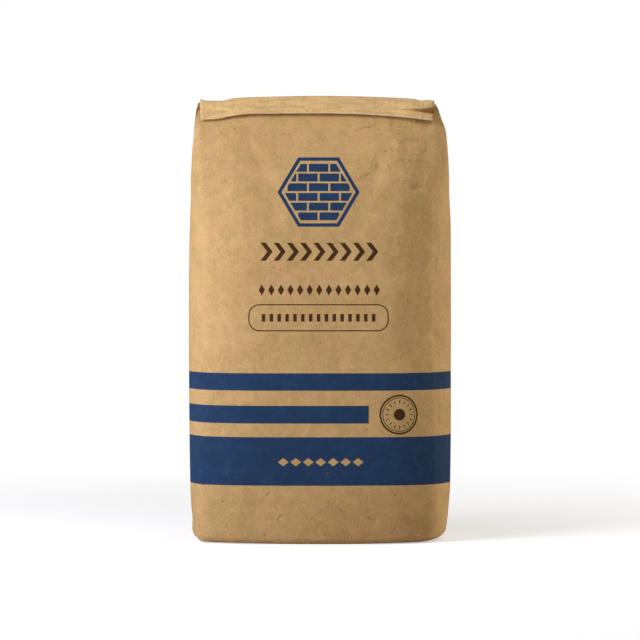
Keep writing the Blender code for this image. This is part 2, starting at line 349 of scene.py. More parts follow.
# Painted shade in the pocket, painted light on the flap, painted shade at the foot, and the creases' painted
# highlight and shade, whose dark colour also draws the seam, fold and scratch lines
POCKET_SHADE_TINT = (0.44, 0.34, 0.28, 1.0)
FOOT_SHADE_TINT = (0.82, 0.78, 0.72, 1.0)
FLAP_PAINTED_LIGHT = (1.39, 1.49, 1.66, 1.0)
PAINTED_HIGHLIGHT = (0.80, 0.62, 0.36, 1.0)
DARK_LINES_AND_CREASE_SHADE = (0.27, 0.155, 0.06, 1.0)
CLOUD_TONE = 0.9
MOTTLE_TONE = 1.3
GRAIN_TONE = 1.1
FIBRE_TONE = 0.6
FIBRE_STRETCH = (1.0, 1.0, 0.16)
WARMTH_TONES = (0.32, 0.68)
SPECK_TONE = 0.8
SMALL_SPECK_TONE = 0.55
PALE_SPECK_TONE = 0.5
CREASE_HIGHLIGHT_TONE = 0.45
CREASE_SHADE_TONE = 0.5
SCRATCH_TONE = 0.22
SCRATCH_WIDTH = 0.030
SCRATCHED = (0.52, 0.62)

# The paper's relief, in metres, and where the front is crumpled: across and up
GRAIN_HEIGHT = 0.00006
FIBRE_HEIGHT = 0.00006
MOTTLE_HEIGHT = 0.00050
CRUMPLE_HEIGHT = 0.00140
CREASE_HEIGHT = 0.00150
CREASE_WANDER = 0.0120
CREASE_FAINTEST = 0.45
CREASE_BREAKS = (0.40, 0.60)
STREAK_HEIGHT = 0.00080
INK_HEIGHT = 0.00002
CRUMPLED_FROM = (0.030, 0.110)
CRUMPLED_ABOVE = (0.340, 0.460)
CRUMPLED_IN_FRONT = (0.0, -0.02)
CRUMPLED_PATCHES = (0.44, 0.64)
CRUMPLED_ELSEWHERE = 0.35
CRUMPLE_LEAST = 0.15
SWIRL = 0.03

# Fine creases, by places on the paper: (start, end, half width, strength). Below 0 it is a groove with
# painted shade, above 0 a ridge with a painted highlight
FINE_CREASES = [
    ((0.0510, 0.5985), (0.0640, 0.6035), 0.0013, 1.0),
    ((0.0630, 0.6030), (0.0785, 0.6068), 0.0012, 1.0),
    ((-0.1790, 0.5860), (-0.1620, 0.5900), 0.0009, 0.6),
    ((0.1110, 0.5815), (0.1260, 0.5845), 0.0028, -0.45),
    ((0.1280, 0.5850), (0.1440, 0.5885), 0.0026, -0.55),
    ((0.1180, 0.5715), (0.1560, 0.5705), 0.0022, -0.40),
    ((0.1190, 0.5675), (0.1480, 0.5668), 0.0024, 0.5),
    ((0.1000, 0.5700), (0.1170, 0.5695), 0.0036, -0.40),
    ((0.1050, 0.5592), (0.1420, 0.5587), 0.0024, 0.45),
    ((0.1080, 0.5550), (0.1640, 0.5540), 0.0024, -0.40),
    ((0.1350, 0.5480), (0.1600, 0.5450), 0.0010, 0.4),
    ((0.0570, 0.5245), (0.0720, 0.5400), 0.0068, -0.55),
    ((0.0720, 0.5400), (0.0880, 0.5515), 0.0060, -0.50),
    ((0.0440, 0.5410), (0.0570, 0.5400), 0.0030, -0.35),
    ((0.1290, 0.5120), (0.1560, 0.5240), 0.0080, -0.70),
    ((0.0930, 0.5500), (0.0990, 0.5410), 0.0026, 0.5),
    ((0.1180, 0.4180), (0.1400, 0.4130), 0.0010, 0.5),
    ((-0.0920, 0.1000), (-0.0850, 0.0960), 0.0010, -0.5),
    ((0.0660, 0.0420), (0.0800, 0.0335), 0.0028, -0.50),
    ((-0.0120, 0.0340), (-0.0030, 0.0250), 0.0026, 0.7),
    ((-0.0190, 0.0250), (-0.0120, 0.0170), 0.0030, -0.40),
    ((-0.0010, 0.0220), (0.0060, 0.0140), 0.0018, 0.7),
    ((0.0330, 0.0260), (0.0440, 0.0080), 0.0019, 1.0),
    ((0.0420, 0.0420), (0.0480, 0.0330), 0.0017, 0.6),
    ((-0.0600, 0.0400), (-0.0470, 0.0440), 0.0028, -0.45),
    ((-0.0780, 0.0330), (-0.0700, 0.0360), 0.0026, -0.40),
    ((-0.0760, 0.0730), (-0.0690, 0.0750), 0.0024, -0.60),
    ((0.1040, 0.0700), (0.1110, 0.0710), 0.0024, -0.50),
    ((0.1380, 0.0180), (0.1480, 0.0100), 0.0032, -0.45),
    ((0.1040, 0.0700), (0.1360, 0.0520), 0.0130, -0.35),
    ((-0.1400, 0.0400), (-0.1220, 0.0580), 0.0075, -0.30),
]

# The studio's soft lights: (name, place, width, power, colour). All face the middle of the sack
MIDDLE = (0.0, 0.0, 0.33)
SOFTBOXES = [
    ("key_softbox", (-1.625, -0.758, 0.490), 0.7, 12.4, (0.93, 1.0, 1.30)),
    ("upper_softbox", (-1.250, -1.049, 1.200), 0.7, 16.4, (1.0, 1.0, 1.05)),
    ("right_fill", (1.766, 0.311, 0.487), 0.7, 14.2, (1.0, 0.91, 0.76)),
    ("top_softbox", (0.421, -0.730, 1.037), 0.5, 1.6, (1.0, 0.98, 0.95)),
]

# The light from all round above the horizon, and the floor, which fades out into the white around it
AMBIENT = 0.20
SKY_HEIGHTS = (-0.15, 0.35)
WHITE = (1.0, 1.0, 1.0, 1.0)
FLOOR_SIZE = 40.0
FLOOR_SINK = 0.0002
FLOOR_FADE = (1.3, 0.15)
FLOOR_PAINT = (0.93, 0.93, 0.93, 1.0)
FLOOR_FOR_LIGHT = (0.66, 0.66, 0.66, 1.0)
FLOOR_GLOW = 0.40

# The camera
CAMERA_PLACE = (0.0, -4.0, 0.45)
CAMERA_AIM = (0.0, -0.05, 0.3246)
CAMERA_LENS = 153.0


def ease(value, start, end):
    """0 up to start, 1 from end, and a smooth step between them."""
    share = np.clip((value - start) / (end - start), 0.0, 1.0)
    return share * share * (3.0 - 2.0 * share)


def blended(first, second, share):
    """The first value at a share of 0, the second at 1."""
    return first + (second - first) * share


def faded(height, power):
    """1 at the base and 0 at the mouth. A higher power holds it near 1 for longer."""
    return 1.0 - (height / MOUTH_HEIGHT) ** power


def foot(height, taper):
    """The wall's share of its full reach, which is a little less near the base."""
    return 1.0 - taper * math.exp(-height / FOOT_RISE)


def smooth_line(points, x):
    """A smooth curve through a few (x, value) points, with no overshoot between them."""
    at = np.array([p[0] for p in points])
    value = np.array([p[1] for p in points])
    slope = np.diff(value) / np.diff(at)
    steady = slope[:-1] * slope[1:] > 0
    total = np.where(steady, slope[:-1] + slope[1:], 1.0)
    mean = np.where(steady, 2 * slope[:-1] * slope[1:] / total, 0.0)
    tangent = np.concatenate([slope[:1], mean, slope[-1:]])
    x = np.clip(x, at[0], at[-1])
    i = np.clip(np.searchsorted(at, x) - 1, 0, len(at) - 2)
    width = at[i + 1] - at[i]
    t = (x - at[i]) / width
    return (
        value[i] * (1 + 2 * t) * (1 - t) ** 2
        + width * tangent[i] * t * (1 - t) ** 2
        + value[i + 1] * t * t * (3 - 2 * t)
        + width * tangent[i + 1] * t * t * (t - 1)
    )


def bent(value, start, end):
    """0 up to start, a straight slope of 1 from end, and a smooth bend between them."""
    turned = np.clip((value - start) / (end - start), 0.0, 1.0)
    return (end - start) * (turned**3 - turned**4 / 2) + np.maximum(value - end, 0.0)


def front_reach(height):
    """The front panel's distance from the centre plane, towards -Y."""
    leaning = bent(height, *FRONT_BEND) / bent(MOUTH_HEIGHT, *FRONT_BEND)
    lost = DEPTH / 2 - MOUTH_THICKNESS / 2 - MOUTH_OFFSET
    return DEPTH / 2 * foot(height, DEPTH_TAPER) - lost * leaning


def back_reach(height):
    """The back panel's distance from the centre plane, towards +Y."""
    leaning = (max(height - BACK_SHOULDER, 0.0) / (MOUTH_HEIGHT - BACK_SHOULDER)) ** BACK_SHOULDER_POWER
    lost = DEPTH / 2 - MOUTH_THICKNESS / 2 + MOUTH_OFFSET
    return DEPTH / 2 * foot(height, DEPTH_TAPER) - lost * leaning


def crown(height):
    """How far the middle of a panel stands proud of its creases."""
    return PANEL_CROWN * faded(height, CROWN_FADE_POWER) * foot(height, CROWN_TAPER)


def crown_lost(panel, height):
    """The share of the crown that is lost at this share of the way from a panel's middle to its crease."""
    at_foot = ease(height, *FOOT_ROUND_HEIGHTS)
    rounded = blended(CROWN_ROUND_SHARE, FOOT_ROUND_SHARE, at_foot)
    start, end = CROWN_BEND
    start = blended(start, FOOT_BEND_STARTS, at_foot)
    return rounded * panel**2 + (1.0 - rounded) * bent(panel, start, end) / bent(1.0, start, end)


def soften(points, radius):
    """Rounds a closed ring of evenly spaced points by averaging along it."""
    if radius <= 0.0:
        return points
    steps = np.arange(len(points))
    steps = np.minimum(steps, len(points) - steps) * PERIMETER / len(points)
    kernel = np.exp(-0.5 * (steps / radius) ** 2)
    blur = np.fft.rfft(kernel / kernel.sum())[:, None]
    return np.fft.irfft(np.fft.rfft(points, axis=0) * blur, len(points), axis=0)


def base_inset(height, radius):
    """How far the rounded base edge lies inside the wall at this height."""
    below = max(radius - height, 0.0)
    return radius - math.sqrt(radius * radius - below * below)


def held_to_reach(x, reach):
    """Lets the ring's two sides out, or draws them in, until each goes as far as its reach."""
    share = np.where(x < 0.0, -reach / x.min(), reach / x.max())
    near_side = ease(np.abs(x) * share / reach, *HELD_SHARES)
    return x * (1.0 + (share - 1.0) * near_side)


def body_ring(height):
    """Points round the body at this height, evenly spaced along the paper from the front's middle."""
    along = np.arange(RING_SAMPLES) / RING_SAMPLES * PERIMETER
    half_panel, half_gusset = PANEL_WIDTH / 2, GUSSET_WIDTH / 2
    right = np.minimum(along, PERIMETER - along)
    is_right = along <= PERIMETER / 2
    reach = np.where(is_right, smooth_line(RIGHT_REACH, height), smooth_line(LEFT_REACH, height))
    roll = faded(height, CROWN_FADE_POWER)
    roll_right = blended(CREASE_ROLL_RIGHT_LOW, CREASE_ROLL_RIGHT, ease(height, *ROLL_CHANGES))
    rolled_in = np.where(is_right, CREASE_ROLL_LEFT - roll_right, 0.0) * roll
    swollen = blended(FOOT_SWELL, GUSSET_SWELL, ease(height, *SWELL_HEIGHTS))
    edge = half_panel + CREASE_ROLL_LEFT * roll
    edge = np.minimum(edge, reach - swollen * faded(height, SWELL_FADE_POWER))
    front, back = -front_reach(height), back_reach(height)
    front_edge, back_edge = front + crown(height), back - crown(height)

    panel = np.where(right < half_panel, right, PERIMETER / 2 - right) / half_panel
    panel = np.clip(panel, 0.0, 1.0)
    across = np.clip((right - half_panel - half_gusset) / half_gusset, -1.0, 1.0)
    in_gusset = (right > half_panel) & (right < half_panel + GUSSET_WIDTH)

    swell_power = blended(GUSSET_ROUND_POWER, GUSSET_SQUARE_POWER, ease(height, *SQUARE_HEIGHTS))
    swell = (reach - edge + rolled_in) * (1.0 - np.abs(across) ** swell_power)
    depth = TUCK_DEPTH * ease(height, *TUCK_HEIGHTS)
    tuck_power = blended(TUCK_POWER, 1.0, ease(height, *SHIFT_HEIGHTS))
    tuck = depth * (1.0 - np.abs(across)) ** tuck_power
    gusset_x = edge - rolled_in + swell - tuck
    gusset_y = blended(front_edge, back_edge, (across + 1.0) / 2)

    proud = crown(height) * (1.0 - crown_lost(panel, height))
    panel_y = np.where(across < 0.0, front_edge - proud, back_edge + proud)
    panel_x = edge * panel - rolled_in * ease(panel, *ROLL_SHARES)
    x = np.where(is_right, 1.0, -1.0) * np.where(in_gusset, gusset_x, panel_x)
    y = np.where(in_gusset, gusset_y, panel_y)
    sharp = np.stack([x, y], axis=1)
    softness = blended(FOOT_SOFTNESS, 1.0, ease(height, *SWELL_HEIGHTS))
    softness = softness * faded(height, SOFTNESS_FADE_POWER)
    ring = soften(sharp, CORNER_SOFTNESS * softness)
    rounder = soften(sharp, RIGHT_SOFTNESS * softness)
    ring = blended(ring, rounder, ease(x, *RIGHT_ROUNDED)[:, None])
    ring[:, 0] = held_to_reach(ring[:, 0], reach)
    ring[:, 1] *= 1.0 - base_inset(height, BASE_RADIUS) / (DEPTH / 2)
    return ring


def column_positions():
    """Where the columns lie along the paper: even in each panel, from the front's middle to the right."""
    half = FRONT_SPLITS // 2
    front = np.linspace(0.0, PANEL_WIDTH, FRONT_SPLITS + 1)
    gusset = np.linspace(0.0, GUSSET_WIDTH, GUSSET_SPLITS + 1)
    back = np.linspace(0.0, PANEL_WIDTH, BACK_SPLITS + 1)
    right_gusset = PANEL_WIDTH / 2
    back_panel = right_gusset + GUSSET_WIDTH
    left_gusset = back_panel + PANEL_WIDTH
    return np.concatenate([
        front[half:-1] - PANEL_WIDTH / 2,
        right_gusset + gusset[:-1],
        back_panel + back[:-1],
        left_gusset + gusset[:-1],
        left_gusset + GUSSET_WIDTH + front[:half],
    ])


def top_drop(across):
    """How far the folded top edge lies below the sack's full height."""
    return HEIGHT - smooth_line(TOP_EDGE, across)


def body_grid(columns):
    """The filled body from the base to the flat mouth: points by row and column, and each row's height."""
    samples = np.arange(RING_SAMPLES + 1) / RING_SAMPLES * PERIMETER
    turns = np.linspace(0.0, math.pi / 2, BASE_RINGS)
    base = BASE_RADIUS * (1.0 - np.cos(turns))
    heights = np.concatenate([base, np.linspace(base[-1], MOUTH_HEIGHT, BODY_RINGS + 1)[1:]])
    rows = []
    for height in heights:
        ring = body_ring(height)
        ring = np.vstack([ring, ring[:1]])
        x, y = (np.interp(columns, samples, ring[:, axis]) for axis in (0, 1))
        z = height - top_drop(x) * ease(height, *DROOP_HEIGHTS)
        rows.append(np.column_stack([x + MOUTH_SHIFT * ease(height, *SHIFT_HEIGHTS), y, z]))
    return np.array(rows), heights


def flap_grid(mouth):
    """The rows that carry the flat mouth over its fold and down the front, and each row's place on the paper.

    The back panel ends up outside. It ends a little above the front panel, whose own edge shows under it.
    """
    x = mouth[:, 0]
    across = x - MOUTH_SHIFT
    outer = np.clip((mouth[:, 1] + MOUTH_OFFSET) / MOUTH_THICKNESS + 0.5, 0.0, 1.0)
    drop = top_drop(across)
    fold_y = -MOUTH_OFFSET - MOUTH_THICKNESS / 2 - FLAP_GAP / 2
    reach = FLAP_GAP / 2 + outer * MOUTH_THICKNESS
    rows, places = [], []
    top = MOUTH_HEIGHT - drop
    for turn in np.linspace(0.0, math.pi, FOLD_RINGS + 1)[1:]:
        rows.append(np.column_stack([x, fold_y + reach * math.cos(turn), top + reach * math.sin(turn)]))
        places.append(MOUTH_THICKNESS * turn)
    low = smooth_line(FLAP_EDGE, across)
    outer_low = low + outer * blended(PLY_STEP_LEFT, PLY_STEP, ease(across, *PLY_STEP_STARTS))
    panel = crown_lost(np.clip(np.abs(across) / (PANEL_WIDTH / 2), 0.0, 1.0), HEIGHT)
    at_right_end = ease(across, *END_THICKENS)
    thick_end = END_THICKNESS * at_right_end - LEFT_END_THINNED * ease(-across, *LEFT_END_THINS)
    thickness = MOUTH_THICKNESS + thick_end
    waving = FLAP_WAVE * np.sin(across * FLAP_WAVES + 1.0)
    beyond_tip = across - POCKET_LINE[0]
    opened = np.clip(beyond_tip / (END_THICKENS[1] - POCKET_LINE[0]), 0.0, 1.0)
    half_open = POCKET_OPENING * np.maximum(beyond_tip, 1e-6)
    lip = POCKET_LINE[1] + beyond_tip * POCKET_SLOPE

    def face(level, share, lifted):
        """A row at this level, standing off the front, with its outer side lifted off its inner one."""
        nominal = level + drop * ease(level, *DROOP_HEIGHTS)
        behind = np.array([front_reach(h) - crown(h) * lost for h, lost in zip(nominal, panel)])
        stand_off = FLAP_GAP + (FLAP_STAND_OFF + waving) * share
        drawn_in = RIGHT_END_DRAWN_IN * at_right_end * share
        return np.column_stack([x - drawn_in, -behind - stand_off - outer * lifted, level])

    for share in np.linspace(0.0, 1.0, FLAP_RINGS + 1)[1:]:
        level = blended(top, outer_low, share)
        inside = (level - (lip - half_open)) / (2 * half_open)
        hollow = ease(inside, *POCKET_UPPER_SIDE) * (1.0 - ease(inside, *POCKET_LOWER_SIDE))
        rolled = FLAP_ROLL * math.sin(math.pi * min(share * FLAP_ROLL_TURNS, 1.0)) * (1.0 - share)
        lifted = MOUTH_THICKNESS + thick_end * min(share * END_THICKENS_DOWN, 1.0) + rolled
        rows.append(face(level, share, lifted - POCKET_DEPTH * opened**0.5 * hollow))
        places.append(places[0] + FACE_STARTS + FACE_LENGTH * share)
    edge = (
        (outer_low - PLY_ROUNDING, thickness - PLY_ROUNDING),
        (outer_low - PLY_ROUNDING, thickness - PLY_DEPTH),
        (low - PLY_ROUNDING, thickness - PLY_DEPTH),
        (low - 2 * PLY_ROUNDING, thickness * INNER_PLY_SHARE),
    )
    for (level, lifted), step in zip(edge, EDGE_STEPS):
        rows.append(face(level, 1.0, lifted))
        places.append(EDGE_STARTS + step)
    return np.array(rows), MOUTH_HEIGHT + np.array(places)


def grid_mesh(name, grid, closed_base=True):
    """One mesh from a grid whose columns run once round."""
    rows, count = grid.shape[:2]
    at = np.arange(rows * count).reshape(rows, count)
    beside = np.roll(at, -1, axis=1)
    quads = np.stack([at[:-1], beside[:-1], beside[1:], at[1:]], axis=-1).reshape(-1, 4)
    faces = quads.tolist()
    if closed_base:
        faces.append(at[0][::-1].tolist())
    mesh = bpy.data.meshes.new(name)
    mesh.from_pydata(grid.reshape(-1, 3).tolist(), [], faces)
    mesh.shade_smooth()
    return mesh


def lay_out_paper(mesh, columns, lengths):
    """Gives the mesh its place on the paper, in metres: from the front's middle round the sack, and up."""
    left, right = columns, np.append(columns[1:], PERIMETER)
    beyond_back = PERIMETER * ((left + right) / 2 > PERIMETER / 2)
    levels = lengths[:, None]
    edges = (left - beyond_back, right - beyond_back, levels[:-1], levels[1:])
    left, right, low, high = np.broadcast_arrays(*edges)
    corners = np.stack([left, low, right, low, right, high, left, high], axis=-1).ravel()
    layer = mesh.uv_layers.new(name="paper")
    places = np.zeros(len(mesh.loops) * 2)
    places[:corners.size] = corners
    layer.data.foreach_set("uv", places)


def paper_lengths(grid):
    """Each row's height along the paper, from the mean length of its columns."""
    steps = np.linalg.norm(np.diff(grid, axis=0), axis=2).mean(axis=1)
    return np.concatenate([[0.0], np.cumsum(steps)])


def flat_tube(columns, lengths):
    """The empty paper tube, square at its creases, with the same rows and columns as the filled sack."""
    wide, deep = PANEL_WIDTH / 2, GUSSET_WIDTH / 2
    corners = [0.0, *PAPER_CREASES, PERIMETER]
    x = np.interp(columns, corners, [0.0, wide, wide, -wide, -wide, 0.0])
    y = np.interp(columns, corners, [-deep, -deep, deep, deep, -deep, -deep])
    return np.array([np.column_stack([x, y, np.full(len(x), length)]) for length in lengths])


def settle(grid, columns, held):
    """The grid's points after the filled paper has settled as cloth. held is how firmly each point stays."""
    paper = new_object("settling_paper", grid_mesh("settling_paper", grid, closed_base=False))
    group = paper.vertex_groups.new(name="held")
    for index, weight in enumerate(held.ravel()):
        group.add([index], float(weight), "REPLACE")
    paper.shape_key_add(name="filled")
    flat = paper.shape_key_add(name="flat")
    flat.data.foreach_set("co", flat_tube(columns, paper_lengths(grid)).ravel())
    flat.value = 0.0
    cloth = paper.modifiers.new("cloth", "CLOTH")
    cloth.point_cache.frame_start = 1
    cloth.point_cache.frame_end = SETTLING_FRAMES
    settings = cloth.settings
    for name, value in SETTLING_PAPER.items():
        setattr(settings, name, value)
    settings.rest_shape_key = flat
    settings.vertex_group_mass = "held"
    settings.effector_weights.gravity = 0.0
    scene = bpy.context.scene
    for step in range(1, SETTLING_FRAMES + 1):
        scene.frame_set(step)
    settled = paper.evaluated_get(bpy.context.evaluated_depsgraph_get()).to_mesh()
    points = np.empty(len(settled.vertices) * 3)
    settled.vertices.foreach_get("co", points)
    bpy.data.objects.remove(paper)
    scene.frame_set(1)
    return points.reshape(grid.shape)


def bell(count, width):
    """The weights of a soft average over neighbours, as far as three widths."""
    steps = np.arange(-count, count + 1)
    weights = np.exp(-0.5 * (steps / width) ** 2)
    return weights / weights.sum()


def averaged(values, rows, columns):
    """Each point's soft average over its neighbours: round the ring, and up to the grid's ends."""
    reach = int(3 * rows)
    below = 2 * values[:1] - values[reach:0:-1]
    above = 2 * values[-1:] - values[-2:-2 - reach:-1]
    padded = np.concatenate([below, values, above])
    up = sum(w * padded[i:i + len(values)] for i, w in enumerate(bell(reach, rows)))
    reach = int(3 * columns)
    return sum(w * np.roll(up, reach - i, axis=1) for i, w in enumerate(bell(reach, columns)))


def between(values, closed):
    """Twice as many values along the first axis. The new ones lie on smooth curves through the others."""
    if closed:
        ends = np.concatenate([values[-1:], values, values[:2]])
    else:
        ends = np.concatenate([2 * values[:1] - values[1:2], values, 2 * values[-1:] - values[-2:-1]])
    middle = (9 * (ends[1:-2] + ends[2:-1]) - ends[:-3] - ends[3:]) / 16
    finer = np.empty((len(values) + len(middle),) + values.shape[1:])
    finer[::2] = values
    finer[1::2] = middle
    return finer


def hold_outline(drawn, settled):
    """Draws the settled sides in, or lets them out, until each row reaches as far as it was drawn."""
    x = settled[..., 0]
    wanted = np.stack([drawn[..., 0].min(axis=1), drawn[..., 0].max(axis=1)])
    reached = np.stack([x.min(axis=1), x.max(axis=1)])
    share = np.where(x < 0.0, *(wanted / reached)[..., None])
    near_side = ease(np.abs(x) / np.abs(np.where(x < 0.0, *reached[..., None])), *HELD_SHARES)
    held = settled.copy()
    held[..., 0] = x * (1.0 + (share - 1.0) * near_side)
    return held


def outward(grid):
    """The unit normal at every point of a grid, pointing out of the sack."""
    across = np.roll(grid, -1, axis=1) - np.roll(grid, 1, axis=1)
    up = np.gradient(grid, axis=0)
    normal = np.cross(across, up)
    return normal / np.maximum(np.linalg.norm(normal, axis=2, keepdims=True), 1e-12)


def stroke(x, z, start, end, half_width):
    """1 along a line from start to end, fading over its half width and towards its ends."""
    (x0, z0), (x1, z1) = start, end
    length = math.hypot(x1 - x0, z1 - z0)
    along = ((x - x0) * (x1 - x0) + (z - z0) * (z1 - z0)) / length**2
    across = ((x - x0) * (z1 - z0) - (z - z0) * (x1 - x0)) / length
    beyond = np.maximum(np.abs(along - 0.5) - 0.5, 0.0) * length
    taper = 1.0 - 0.5 * np.clip(np.abs(along - 0.5) * 2, 0.0, 1.0) ** 2
    return taper * np.exp(-0.5 * (across**2 + beyond**2) / half_width**2)


def from_front(columns):
    """How far along the paper a column is from the front's middle, round the nearer side."""
    return np.minimum(columns, PERIMETER - columns)


def settled_body(body, heights, columns):
    """The body with a little of the settled paper's swelling, and a share of its folds on each panel."""
    held = np.zeros(body.shape[:2])
    held[(heights < HELD_BELOW) | (heights > HELD_ABOVE)] = 1.0
    coarse = (slice(None, None, 2), slice(None, None, 2))
    heights, columns = heights[::2], columns[::2]
    moved = settle(body[coarse], columns, held[coarse]) - body[coarse]
    broad = averaged(moved, BROAD_ROWS, BROAD_COLUMNS)
    folds = moved - broad
    size = np.linalg.norm(folds, axis=2, keepdims=True)
    folds *= np.minimum(1.0, FOLD_LIMIT / np.maximum(size, 1e-9))
    on_front = 1.0 - ease(from_front(columns), FRONT_CREASE - FRONT_FADES, FRONT_CREASE + FRONT_FADES)
    kept_in_front = blended(FOLDS_KEPT_LOW, FOLDS_KEPT_FRONT, ease(heights, *LOW_HEIGHTS))
    kept = blended(FOLDS_KEPT_ELSEWHERE, kept_in_front[:, None], on_front)
    free = ease(heights, 0.0, HELD_FADES) * (1.0 - ease(heights, HELD_ABOVE - HELD_FADES, HELD_ABOVE))
    change = BULGE_KEPT * broad * free[:, None, None] + folds * kept[..., None]
    change = between(change, closed=False)
    change = between(change.swapaxes(0, 1), closed=True).swapaxes(0, 1)
    return hold_outline(body, body + change)


def creased_body(body, heights, columns):
    """The body with the empty sack's creases, the dents in its front, and the press of the flap on it."""
    raised = np.zeros(body.shape[:2])
    ridges = [(crease, CREASE_RIDGE) for crease in PAPER_CREASES]
    gusset_middle = FRONT_CREASE + GUSSET_WIDTH / 2
    valleys = [(crease, -GUSSET_VALLEY) for crease in (gusset_middle, PERIMETER - gusset_middle)]
    for crease, rise in ridges + valleys:
        raised += rise * np.exp(-0.5 * ((columns - crease) / CREASE_HALF_WIDTH) ** 2)
    raised *= (ease(heights, *CREASES_START) * (1.0 - ease(heights, *CREASES_END)))[:, None]
    x, z = body[..., 0], body[..., 2]
    dented = PRESSED_DEPTH * ease(smooth_line(FLAP_EDGE, x - MOUTH_SHIFT) - z, *PRESSED_REACH)
    dented *= z < HEIGHT - PRESSED_BELOW_TOP
    for start, end, half_width, depth in DENTS:
        dented += depth * stroke(x, z, start, end, half_width)
    raised -= dented * (1.0 - ease(from_front(columns), FRONT_CREASE, FRONT_CREASE + FRONT_FADES))
    return body + outward(body) * raised[..., None]


def lift_foot(body):
    """Lifts the base's edge a little towards both sides, in small waves."""
    x, z = body[..., 0], body[..., 2]
    lifted = ease(np.abs(x), *FOOT_LIFT_ACROSS) * (1.0 - ease(z, 0.0, FOOT_LIFT_FADES))
    waves = sum(np.sin(x * rate + shift) for rate, shift in FOOT_WAVES)
    z += (FOOT_LIFT + FOOT_WAVE * waves) * lifted


def new_object(name, data, *materials):
    made = bpy.data.objects.new(name, data)
    bpy.context.scene.collection.objects.link(made)
    for material in materials:
        data.materials.append(material)
    return made


def maths(operation, reflected=False):
    """A method that adds a Math node. Reflected, its own level is the second value: 1 - mask."""
    def method(level, *others):
        values = (*others, level) if reflected else (level, *others)
        return level.finish.node("ShaderNodeMath", {"operation": operation}, dict(enumerate(values)))
    return method


class Level:
    """A number, colour or vector that varies over a surface. Arithmetic on a number adds its Math nodes."""

    def __init__(self, finish, socket):
        self.finish = finish
        self.socket = socket

    __add__ = maths("ADD")
    __radd__ = maths("ADD", reflected=True)
    __sub__ = maths("SUBTRACT")
    __rsub__ = maths("SUBTRACT", reflected=True)
    __mul__ = maths("MULTIPLY")
    __rmul__ = maths("MULTIPLY", reflected=True)
    __truediv__ = maths("DIVIDE")
    __rtruediv__ = maths("DIVIDE", reflected=True)
    __pow__ = maths("POWER")
    __mod__ = maths("MODULO")
    __abs__ = maths("ABSOLUTE")
    __floor__ = maths("FLOOR")
    least = maths("MINIMUM")
    most = maths("MAXIMUM")
    wrapped = maths("WRAP")
    turn_from = maths("ARCTAN2")

    def repeated(self, period):
        """The same stretch from -period / 2 to period / 2, over and over."""
        return self.wrapped(period / 2, -period / 2)

    def eased(self, start, end):
        """0 up to start, 1 from end, and a smooth step between them. start may be the larger one."""
        inputs = {"Value": self, "From Min": start, "From Max": end}
        return self.finish.node("ShaderNodeMapRange", {"interpolation_type": "SMOOTHSTEP"}, inputs, "Result")


class Finish:
    """The nodes of a material, or of the light from all round, in the making."""

    def __init__(self, owner, shader, constants):
        owner.use_nodes = True
        self.nodes = owner.node_tree.nodes
        self.links = owner.node_tree.links
        self.shader = self.nodes[shader]
        for socket, value in constants.items():
            self.shader.inputs[socket].default_value = value

    def node(self, kind, settings=None, inputs=None, output=0):
        """Adds a node. Its settings come first, then a value or a link for each of its inputs."""
        made = self.nodes.new(kind)
        for name, value in (settings or {}).items():
            setattr(made, name, value)
        for name, value in (inputs or {}).items():
            self.feed(made.inputs[name], value)
        return Level(self, made.outputs[output])

    def feed(self, socket, value):
        if isinstance(value, Level):
            self.links.new(value.socket, socket)
        else:
            socket.default_value = value

    def to_shader(self, socket, value):
        self.feed(self.shader.inputs[socket], value)

    def place(self, coordinates="Object"):
        return self.node("ShaderNodeTexCoord", output=coordinates)

    def vector(self, operation, *values, output="Vector"):
        return self.node("ShaderNodeVectorMath", {"operation": operation}, dict(enumerate(values)), output)

    def parts(self, vector):
        """A vector's three numbers."""
        made = self.node("ShaderNodeSeparateXYZ", None, {0: vector})
        return [Level(self, socket) for socket in made.socket.node.outputs]

    def noise(self, place, scale, detail=2.0, roughness=0.5, distortion=0.0, output="Fac"):
        inputs = {"Vector": place, "Scale": scale, "Detail": detail}
        inputs.update({"Roughness": roughness, "Distortion": distortion})
        return self.node("ShaderNodeTexNoise", {"noise_dimensions": "3D"}, inputs, output)

    def cells(self, place, scale, feature="F1", distance="EUCLIDEAN"):
        """The distance to the nearest cell's middle, or to its edge."""
        settings = {"feature": feature, "distance": distance}
        return self.node("ShaderNodeTexVoronoi", settings, {"Vector": place, "Scale": scale}, "Distance")

    def specks(self, place, scale, radius):
        """Small round specks: 1 in the middle of one, and 0 from this share of a cell's size outwards."""
        return self.cells(place, scale).eased(radius, radius * 0.3)

    def mixed(self, share, first, second, blend="MIX"):
        """The second colour over the first by this share."""
        made = self.node("ShaderNodeMix", {"data_type": "RGBA", "blend_type": blend}, {"Factor": share})
        node = made.socket.node
        places = [socket for socket in node.inputs if socket.type == "RGBA"]
        self.feed(places[0], first)
        self.feed(places[1], second)
        return Level(self, [socket for socket in node.outputs if socket.type == "RGBA"][0])

    def tinted(self, colour, tint):
        return self.mixed(1.0, colour, tint, "MULTIPLY")


def slanted(u, v, start, end):
    """A place's distance along a line from its middle, and across it."""
    (u0, v0), (u1, v1) = start, end
    length = math.hypot(u1 - u0, v1 - v0)
    along_u, along_v = (u1 - u0) / length, (v1 - v0) / length
    du, dv = u - (u0 + u1) / 2, v - (v0 + v1) / 2
    return du * along_u + dv * along_v, du * along_v - dv * along_u


